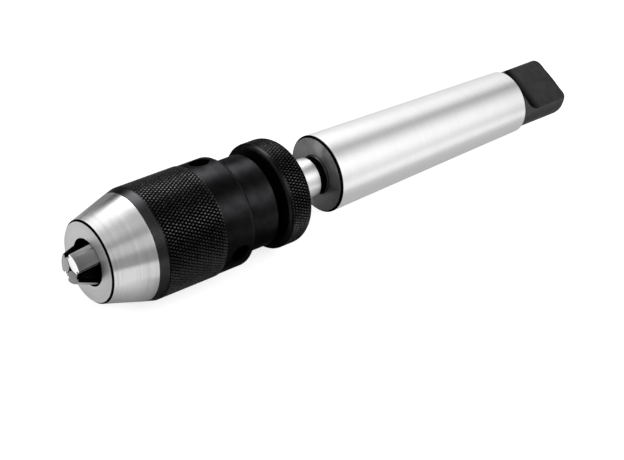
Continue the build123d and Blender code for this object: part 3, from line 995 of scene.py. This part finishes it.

# %% [markdown]
# ### The bright finishes
# The cone is turned and polished, its face only turned, and the taper ground, which makes it the
# whitest. The jaws are ground too, but greyer. Each jaw's tip faces another way and mirrors another
# part of the room, so the three tips look bright, grey and dull. That difference is painted into their
# colours: the same ground steel gets a light, a grey and a dark tip, as painted reflections. One
# material for all would show them alike, because the tent that is put up later is too plain so close
# to the nose.

# %% Cone, face, taper, jaws, bearing and cage
SATIN = bright_steel("satin_turned_steel", grey(0.70, 0.005), grey(0.86, 0.005),
                     roughness=0.21, spread=0.5, pitch=0.22, relief=0.003)
FACED = bright_steel("faced_nose_steel", grey(0.42, 0.003), grey(0.49, 0.003),
                     roughness=0.33, spread=0.6, pitch=0.2, relief=0.004)
GROUND = bright_steel("ground_taper_steel", grey(0.78, 0.005), grey(0.83, 0.005),
                      roughness=0.34, spread=0.4, pitch=0.12, relief=0.0015, drift=0.04)
JAW_MARKS = {"spread": 0.3, "pitch": 0.15, "relief": 0.001}
JAW_STEEL = bright_steel("ground_jaw_steel", grey(0.38), grey(0.43), roughness=0.42, worn=grey(0.5),
                         **JAW_MARKS)
# Three copies of ground jaw steel whose colours paint the tips' reflections: light, grey and dark.
TIP_PAINTED_LIGHT = bright_steel("jaw_tip_painted_light", grey(0.86), grey(0.92), roughness=0.3, **JAW_MARKS)
TIP_PAINTED_GREY = bright_steel("jaw_tip_painted_grey", grey(0.30), grey(0.36), roughness=0.4, worn=grey(0.4), **JAW_MARKS)
TIP_PAINTED_DARK = bright_steel("jaw_tip_painted_dark", grey(0.18), grey(0.22), roughness=0.4, worn=grey(0.3), **JAW_MARKS)
BEARING_STEEL = bright_steel("polished_bearing_steel", grey(0.7, 0.01), grey(0.82, 0.01),
                             roughness=0.12, spread=0.2, pitch=0.1, relief=0.001, drift=0.1)
BRASS = bright_steel("brass_cage", (0.62, 0.42, 0.17, 1), (0.75, 0.54, 0.24, 1), worn=(0.8, 0.62, 0.3, 1),
                     roughness=0.3, spread=0.2, pitch=0.2, relief=0.003, drift=0.1)
print("bright finishes:", len(bpy.data.materials))

# %% [markdown]
# ### The black finishes
# The black pieces have been through the same bath, but they don't look alike. The rolled diamonds are
# worn light on top, the bevel in front of them is turned smooth and shines more, and the tang keeps the
# grey scale of its hardening. Holes, bores, chamfers, undercuts and the jaws' flanks get painted shade:
# a black far deeper than the oxide, on bright pieces too, which stands in for the shade inside them.
# Behind the taper the mill has run out in a curved wall. Its colour is painted darker as shade: it is
# darkest at its start and as light as the tang where it meets the flat. Two materials side by side
# would leave a hard line there, so its colour fades between two stations.

# %% Sleeve, ring, tang, shoulder, guide and body
BLACKED = black_steel("blacked_steel", grey(0.018, 0.001), grey(0.026, 0.002), grey(0.045, 0.002),
                      roughness=0.34, spread=0.4, edge_tint=0.45, pitch=0.3, amount=0.2)
BEVEL_BLACK = black_steel("turned_bevel_steel", grey(0.050, 0.002), grey(0.066, 0.003), grey(0.08, 0.003),
                          roughness=0.28, spread=0.4, edge_tint=0.5, pitch=0.15, amount=0.2)
KNURL_BLACK = black_steel("blacked_knurl_steel", grey(0.029, 0.001), grey(0.044, 0.002), grey(0.12, 0.003),
                          roughness=0.36, spread=0.0, edge_tint=0.2, pitch=0.3, relief=0.002, amount=0.9)
# Painted shade: a black far deeper than the oxide, for holes, bores, chamfers, undercuts and the jaws'
# flanks.
PAINTED_SHADE_BLACK = black_steel("painted_shade_black_steel", grey(0.003, 0.0003), grey(0.005, 0.0005), grey(0.008),
                         roughness=0.4, spread=0.2, edge_tint=0.3, pitch=0.3, relief=0.002)
TANG_BLACK = black_steel("scaled_tang_steel", grey(0.066, 0.001), grey(0.086, 0.001), grey(0.1),
                         roughness=0.42, spread=0.3, edge_tint=0.6, pitch=0.25, relief=0.004, amount=0.2)
# The run-out's wall, which leans to the rear, is painted darker than the tang as painted shade.
RUNOUT_PAINTED_SHADE = black_steel("runout_painted_shade_steel", grey(0.012), grey(0.02), grey(0.05),
                           roughness=0.42, spread=0.3, edge_tint=0.4, pitch=0.25, relief=0.004)
SHOULDER_STEEL = black_steel("turned_shoulder_steel", grey(0.54, 0.01), grey(0.64, 0.01), grey(0.6),
                             roughness=0.42, spread=0.9, edge_tint=0.6, pitch=0.2)
GUIDE_STEEL = black_steel("phosphated_guide_steel", grey(0.03, 0.001), grey(0.05, 0.001), grey(0.1),
                          roughness=0.5, spread=0.2, edge_tint=0.6, pitch=0.25, relief=0.004)
BODY_STEEL = black_steel("blacked_body_steel", grey(0.012, 0.001), grey(0.02, 0.002), grey(0.1),
                         roughness=0.4, spread=0.3, edge_tint=0.6, pitch=0.25)


def fade_along(material, start, end, colour):
    """Lets the colour of a finish pass into another one between two stations."""
    tree = material.node_tree
    shader = tree.nodes["Principled BSDF"]
    x = add_node(tree, "ShaderNodeSeparateXYZ", {0: object_place(tree)}).outputs["X"]
    share = between(tree, x, NOSE_FACE + start * mm, NOSE_FACE + end * mm)
    before = shader.inputs["Base Color"].links[0].from_socket
    feed(tree, shader, {"Base Color": mixed_colour(tree, share, before, colour)})


# The painted shade of the run-out fades into the tang's own grey towards the flat.
fade_along(RUNOUT_PAINTED_SHADE, FLAT_START - 4.2, FLAT_START + 1.2, grey(0.076, 0.001))
print("all finishes:", len(bpy.data.materials))

# %% [markdown]
# ## Which face gets which finish
# One piece can have two finishes: the arbor is ground on its tapers and black everywhere else. Cutting
# the mesh apart would open it, so each face is sorted by where its middle is, and by how far it
# leans to the rear.

# %% Hand out the finishes
Spot = namedtuple("Spot", "x r lean")


def dress(mesh, *materials):
    mesh.materials.clear()
    for material in materials:
        mesh.materials.append(material)


def finish_faces(name, rule, *materials):
    """Gives each face of a piece the material whose number the rule returns for the face's middle."""
    mesh = bpy.data.objects[name].data
    dress(mesh, *materials)
    for face in mesh.polygons:
        x = (face.center.x - NOSE_FACE) / mm
        face.material_index = rule(Spot(x, hypot(face.center.y, face.center.z) / mm, face.normal.x))


def arbor_finish(spot):
    """0 ground, 1 turned shoulder face, 2 tang and undercut's fillet, 3 undercut and chamfers, painted deep
    black as shade, 4 run-out of the mill, painted darker as shade.
    """
    neck = spot.x < NECK_END - SAME_POINT
    taper = SHOULDER + RIM_CHAMFER + FINE_BREAK < spot.x < TANG_START - TANG_STEP
    if neck or taper:
        return 0
    if spot.x > TANG_START - TANG_RELIEF:
        return 4 if spot.x < FLAT_START and spot.lean > 0.03 else 2
    neck_r = socket_r(NECK_END)
    if spot.lean < -0.1 and spot.r < neck_r:
        return 2
    on_face = neck_r < spot.r < morse_r(SHOULDER) - RIM_CHAMFER - FINE_BREAK / 2
    return 1 if on_face and abs(spot.x - SHOULDER) < FINE_BREAK / 2 else 3


def hood_finish(spot):
    """0 turned cone, 1 faced front, 2 chamfers and bore, painted black as shade."""
    if spot.x > HOOD_CHAMFER + FINE_BREAK / 2 and spot.r > HOOD_FACE_R:
        return 0
    inner = bore_r(BORE_CHAMFER) + BORE_CHAMFER
    on_face = spot.x < SAME_POINT and inner < spot.r < HOOD_FACE_R - HOOD_CHAMFER
    return 1 if on_face else 2


def sleeve_finish(spot):
    """0 blacked, 1 knurl, 2 inside of a spanner hole, painted deeper black as shade, 3 front bevel."""
    if spot.x < CONE_END + BEVEL_LENGTH and spot.r > CONE_TIP_R - FINE_BREAK:
        return 3
    beside_hole = abs(spot.x - SPANNER_STATION) < SPANNER_R
    if beside_hole and NUT_BORE_R + FINE_BREAK < spot.r < BAND_R - SPANNER_RIM:
        return 2
    return 1 if KNURL_START < spot.x < KNURL_END else 0


def ring_finish(spot):
    """0 blacked, 1 knurl."""
    in_knurl = RING_KNURL_START < spot.x < RING_KNURL_END
    return 1 if in_knurl and spot.r > ring_rim(spot.x) - 2 * KNURL_DEPTH else 0


def finish_jaw(name, tip):
    """The back and the tip of a jaw are ground bright, the tip in a colour that paints its reflection; its
    flanks, grooves and V faces are painted black, as painted shade.
    """
    mesh = bpy.data.objects[name].data
    middle = sum((v.co for v in mesh.vertices), Vector()) / len(mesh.vertices)
    outwards = Vector((0, middle.y, middle.z)).normalized()
    dress(mesh, PAINTED_SHADE_BLACK, JAW_STEEL, tip)
    for face in mesh.polygons:
        on_tip = face.normal.x < -0.8
        on_back = face.normal.dot(outwards) > 0.6
        face.material_index = 2 if on_tip else int(on_back)


finish_faces("nose_hood", hood_finish, SATIN, FACED, PAINTED_SHADE_BLACK)
finish_faces("grip_sleeve", sleeve_finish, BLACKED, KNURL_BLACK, PAINTED_SHADE_BLACK, BEVEL_BLACK)
finish_faces("rear_grip_ring", ring_finish, BLACKED, KNURL_BLACK)
finish_faces("taper_arbor", arbor_finish, GROUND, SHOULDER_STEEL, TANG_BLACK, PAINTED_SHADE_BLACK, RUNOUT_PAINTED_SHADE)
dress(bpy.data.objects["waist_nut"].data, BLACKED)
# Each tip gets its painted reflection: light, dark or grey.
for word, tip in (("one", TIP_PAINTED_LIGHT), ("two", TIP_PAINTED_DARK), ("three", TIP_PAINTED_GREY)):
    finish_jaw(f"ground_jaw_{word}", tip)
print("the skins have their finishes")

# %% [markdown]
# ## The pieces inside
# What works inside is seen only through the nose hole and between ring and arbor, or when the tool is
# taken apart. Those solids could be made again as well, but they are right as they are, so they keep
# their meshes and only get a finish.

# %% Finishes for the inner pieces
INNER_FINISHES = {
    "chuck_body": BODY_STEEL,
    "jaw_guide": GUIDE_STEEL,
    "drive_screw": GUIDE_STEEL,
    "race_front": BEARING_STEEL,
    "race_rear": BEARING_STEEL,
    "ball_cage": BRASS,
}
for name, material in INNER_FINISHES.items():
    dress(nodes[name].data, material)
print("finished inside:", ", ".join(INNER_FINISHES))

# %% [markdown]
# ## The bearing balls
# A bearing ball is lapped between two plates until it is round to a thousandth of a millimetre. The
# solid's ball is as round as it needs to be, but where its seam ends, at each pole, one face has
# shrunk to nothing, and a printer or a cutter would call that mesh open. A sphere primitive has
# other poles with long thin faces. A tidied copy of the solid keeps its roundness and is closed.

# %% Close the balls
BALL_COUNT = 12


def lapped_ball(number):
    mesh = nodes[f"ball_{number:02d}"].data.copy()
    tidy_mesh(mesh)
    dress(mesh, BEARING_STEEL)
    return put_in_scene(f"lapped_ball_{number:02d}", mesh)


for number in range(1, BALL_COUNT + 1):
    settle(lapped_ball(number), "ball_set", f"ball_{number:02d}")

# %% [markdown]
# ## The camera
# The camera stands where the photographer stood: in front of the nose, to the near side, and high. It
# is rolled, so that the tool runs up to the right. Its place was found by laying the outlines of the
# solids over those in the photograph. A constraint could aim it, but a roll is plainer as an angle.

# %% Camera
CAMERA_PLACE = Vector((-0.3186, -0.19666, 0.41915))
CAMERA_AZIMUTH = radians(-59.032)
CAMERA_ELEVATION = radians(50.096)
CAMERA_ROLL = radians(29.861)
LENS = 107.81
SENSOR_WIDTH = 36


def camera_axes():
    """Right, up and back directions of the camera."""
    a, e, roll = CAMERA_AZIMUTH, CAMERA_ELEVATION, CAMERA_ROLL
    back = Vector((sin(a) * cos(e), -cos(a) * cos(e), sin(e)))
    level = Vector((cos(a), sin(a), 0))
    upright = back.cross(level)
    right = level * cos(roll) + upright * sin(roll)
    return right, back.cross(right), back


def add_camera():
    camera = put_in_scene("camera", bpy.data.cameras.new("camera"))
    camera.data.lens = LENS
    camera.data.sensor_width = SENSOR_WIDTH
    turn = Matrix(camera_axes()).transposed()
    camera.matrix_world = Matrix.Translation(CAMERA_PLACE) @ turn.to_4x4()
    bpy.context.scene.camera = camera


add_camera()
bpy.context.scene.view_settings.view_transform = "Standard"
print("camera at", [round(c, 3) for c in CAMERA_PLACE])

# %% [markdown]
# ## Floor, world and soft lights
# A catalogue picture has a white ground. The lamps could be turned up until the floor is white, but
# the tool would burn out with it. So the floor is plain matt white, and what is missing to full white
# is added only where it is seen or mirrored. The world is treated alike: white to look at, and less
# than half as strong as a light. Two long soft lights, one on the far side and one above the camera,
# make the soft shadow. They don't show in the steel: its reflections are built apart, further down.

# %% World, floor and lights
WORLD_LIGHT = 0.4
FLOOR_HEIGHT = -SLEEVE_R * mm
FLOOR_SIZE = 6.0
FLOOR_WHITE = 0.9
FLOOR_LIFT = 0.65
LIGHT_DISTANCE = 0.9
LIGHT_WIDTH = 2 * LIGHT_DISTANCE * tan(radians(30 / 2))   # as seen from the tool it spans 30 degrees
LIGHT_FRONT, LIGHT_REAR = -1.0, 1.2


def seen_or_mirrored(tree):
    path = add_node(tree, "ShaderNodeLightPath").outputs
    either = maths(tree, "MAXIMUM", path["Is Camera Ray"], path["Is Glossy Ray"])
    return maths(tree, "MAXIMUM", either, path["Is Transmission Ray"])


def add_world():
    world = bpy.data.worlds.new("studio")
    bpy.context.scene.world = world
    world.use_nodes = True
    tree = world.node_tree
    strength = between(tree, seen_or_mirrored(tree), 0.0, 1.0, WORLD_LIGHT, 1.0)
    feed(tree, tree.nodes["Background"], {"Strength": strength, "Color": grey(1)})


def stage_mesh(name, points, faces):
    mesh = bpy.data.meshes.new(name)
    mesh.from_pydata(points, [], faces)
    made = put_in_scene(name, mesh)
    return made


def add_floor():
    half = FLOOR_SIZE / 2
    corners = [(x, y, FLOOR_HEIGHT) for x, y in ((-half, -half), (half, -half), (half, half), (-half, half))]
    floor = stage_mesh("floor", corners, [(0, 1, 2, 3)])
    material, tree, shader = new_material("studio_floor")
    feed(tree, shader, {
        "Base Color": grey(FLOOR_WHITE),
        "Roughness": 0.9,
        "Specular IOR Level": 0.0,
        "Emission Color": grey(1),
        "Emission Strength": maths(tree, "MULTIPLY", seen_or_mirrored(tree), FLOOR_LIFT),
    })
    dress(floor.data, material)


def soft_light(name, angle, radiance):
    """Long area light beside the tool, at an angle round it from +Y."""
    lamp = bpy.data.lights.new(name, "AREA")
    lamp.shape = "RECTANGLE"
    lamp.size, lamp.size_y = LIGHT_REAR - LIGHT_FRONT, LIGHT_WIDTH
    lamp.energy = radiance * pi * lamp.size * lamp.size_y
    along = Vector((1, 0, 0))
    out = Vector((0, cos(radians(angle)), sin(radians(angle))))
    turn = Matrix((along, out.cross(along), out)).transposed()
    place = out * LIGHT_DISTANCE + along * (LIGHT_FRONT + LIGHT_REAR) / 2
    made = put_in_scene(name, lamp)
    made.matrix_world = Matrix.Translation(place) @ turn.to_4x4()
    made.visible_glossy = False


add_world()
add_floor()
soft_light("far_soft_light", 35, 0.7)
soft_light("near_soft_light", 114, 1.0)
print("floor at", round(FLOOR_HEIGHT / mm, 2), "mm")

# %% [markdown]
# ## The reflection tent
# Steel shows the room more than itself. A photographer puts bright tools in a tent of white cloth and
# lays soft windows and grey cards against it, until each cylinder carries the streaks that tell its
# shape. Real lamps and cards could be placed one by one, but a tent is one mesh, and every point of
# it stores how bright it is there. Angles go round the tool, from the far horizon at 0 over the top
# to the near horizon at 180. The tent is long, and each stretch of the tool mirrors its own stretch:
# the cone wants a calm room, the black sleeve a dark one with windows, stronger by the knurl, the
# taper a light one, and the thin neck one that is light all round. Only reflections see the tent. The
# diffuse light and the shadow stay those of the lamps.

# %% Windows in the tent
TENT_RADIUS = 0.1
TENT_LOW, TENT_HIGH = -10, 190
TENT_STEP = 2              # degrees between two lines of points
TENT_FRONT, TENT_REAR = -0.25, 0.32
TENT_SPACING = 0.005


def rise(value, low, high):
    """0 below low, 1 above high, and smooth between."""
    share = min(max((value - low) / (high - low), 0.0), 1.0)
    return share * share * (3 - 2 * share)


def brightness(angle, base, windows):
    """Brightness at an angle. A window has its two ends, the width of its soft edges, and its gain."""
    return base + sum(gain * rise(angle, low, low + edge) * rise(-angle, -high, -high + edge)
                      for low, high, edge, gain in windows)


DARK_ROOM = (0.12, [(-40, 12, 20, 0.6)])
CALM_ROOM = (0.35, [(-21, 84, 41, 0.68), (60, 104, 26, 0.33), (101, 136, 11, 0.23), (155, 200, 4, 0.51)])
WINDOW_ROOM = (0.02, [(6, 58, 24, 4.7), (90, 138, 24, 2.5), (154, 185, 16, 0.43)])
KNURL_ROOM = (0.02, [(6, 58, 24, 6.0), (90, 138, 24, 1.9), (154, 185, 16, 0.1)])
LIGHT_ROOM = (0.33, [(-80, 75, 31, 0.39), (-10, 77, 34, 0.47), (62, 187, 58, 0.98), (148, 245, 52, 1.13)])
NECK_ROOM = (0.5, [(-80, 75, 31, 0.37), (-10, 77, 34, 0.45), (62, 187, 58, 0.9), (148, 245, 52, 1.13)])
ROOMS = [
    (-0.135, DARK_ROOM),
    (-0.115, CALM_ROOM),
    (-0.070, CALM_ROOM),
    (-0.058, WINDOW_ROOM),
    (-0.048, KNURL_ROOM),
    (-0.012, KNURL_ROOM),
    (0.000, WINDOW_ROOM),
    (0.018, WINDOW_ROOM),
    (0.030, LIGHT_ROOM),
    (0.042, NECK_ROOM),
    (0.056, NECK_ROOM),
    (0.068, LIGHT_ROOM),
    (0.17, LIGHT_ROOM),
    (0.20, DARK_ROOM),
]


def between_stops(x, stops, level):
    """Level at a station x, between stops that each have a place and what the level is worked out from."""
    return np.interp(x, [place for place, _ in stops], [level(stop) for _, stop in stops])


def tent_glow(x, angle):
    return between_stops(x, ROOMS, lambda room: brightness(angle, *room))


print("brightest window:", round(max(tent_glow(0, a) for a in range(180)), 2))

# %% [markdown]
# ### A sheet that only reflections see
# The real tent is sewn cloth on a frame, turned over at its rims. Here it is a sheet of points in
# rows, and its material glows as brightly as each point says. A lamp for each window would light the
# floor as well. This sheet is left out of all rays but the mirrored ones, so it can stand close round
# the tool without hiding it or lighting the floor.

# %% Put up the tent


def glowing_sheet(name, rows, glow):
    """Sheet of points in rows that only reflections see; glow has the brightness of each point, in order."""
    points = [point for row in rows for point in row]
    count = len(rows[0])
    faces = [(r * count + i, r * count + i + 1, (r + 1) * count + i + 1, (r + 1) * count + i)
             for r in range(len(rows) - 1) for i in range(count - 1)]
    sheet = stage_mesh(name, points, faces)
    sheet.data.attributes.new("glow", "FLOAT", "POINT").data.foreach_set("value", glow)
    material, tree, shader = new_material(name)
    feed(tree, shader, {
        "Base Color": grey(0),
        "Specular IOR Level": 0.0,
        "Emission Color": grey(1),
        "Emission Strength": add_node(tree, "ShaderNodeAttribute", attribute_name="glow").outputs["Fac"],
    })
    material.cycles.emission_sampling = "NONE"
    dress(sheet.data, material)
    for kind in ("camera", "diffuse", "transmission", "shadow"):
        setattr(sheet, f"visible_{kind}", False)
    print(f"{name}: {len(points)} points, brightness {min(glow):.2f} to {max(glow):.2f}")


def folded(angle):
    """Both rims are turned over, so above and below a horizon the tent is equally bright."""
    near_rim = angle >= 360 - TENT_HIGH
    return max(angle, 360 - angle) if near_rim else abs(angle)


def add_tent():
    angles = range(TENT_LOW, TENT_HIGH + 1, TENT_STEP)
    stations = np.arange(TENT_FRONT, TENT_REAR, TENT_SPACING)
    ring = [(TENT_RADIUS * cos(radians(a)), TENT_RADIUS * sin(radians(a))) for a in angles]
    rows = [[(x, y, z) for x in stations] for y, z in ring]
    glowing_sheet("reflection_tent", rows, [tent_glow(x, folded(a)) for a in angles for x in stations])


add_tent()

# %% [markdown]
# ## The mat under the tool
# The lower half of every cylinder mirrors the ground. On plain white floor it would be as light as
# the top, and the round shape would be lost. A dark card could lie there, but its edge would show in
# the steel. So it is a soft mat, for reflections only, that carries a painted shadow: under cone and
# sleeve it is dark close to the tool and lighter away from it, as the tool's own soft shadow is, and
# darkest below the sleeve.

# %% Lay the mat
MAT_LIFT = 0.5 * mm
MAT_STEP = 0.003
UNDER_TIP = ((0.9, 0.9, 0.05), (1.08, 1.08, 0.05))
UNDER_CONE = ((0.05, 1.05, 0.055), (0.55, 0.4, 0.05))
UNDER_SLEEVE = ((0.0, 0.17, 0.018), (0.28, 0.16, 0.137))
UNDER_TAPER = ((0.52, 1.0, 0.26), (0.47, 1.0, 0.05))
MATS = [
    (-0.110, UNDER_TIP),
    (-0.089, UNDER_TIP),
    (-0.085, UNDER_CONE),
    (-0.075, UNDER_CONE),
    (-0.066, UNDER_SLEEVE),
    (-0.004, UNDER_SLEEVE),
    (0.004, UNDER_TAPER),
    (0.3, UNDER_TAPER),
]


def mat_level(y, mat):
    """A mat has a level close to the tool, one far off and a reach, for its near and for its far side."""
    near, far = mat
    close, away, reach = near if y < 0 else far
    return away + (close - away) * exp(-abs(y) / reach)


def add_mat():
    across = np.arange(-TENT_RADIUS, TENT_RADIUS, MAT_STEP)
    stations = np.arange(TENT_FRONT, TENT_REAR, MAT_STEP)
    rows = [[(x, y, FLOOR_HEIGHT + MAT_LIFT) for x in stations] for y in across]
    glow = [between_stops(x, MATS, lambda mat: mat_level(y, mat)) for y in across for x in stations]
    glowing_sheet("reflection_mat", rows, glow)


add_mat()
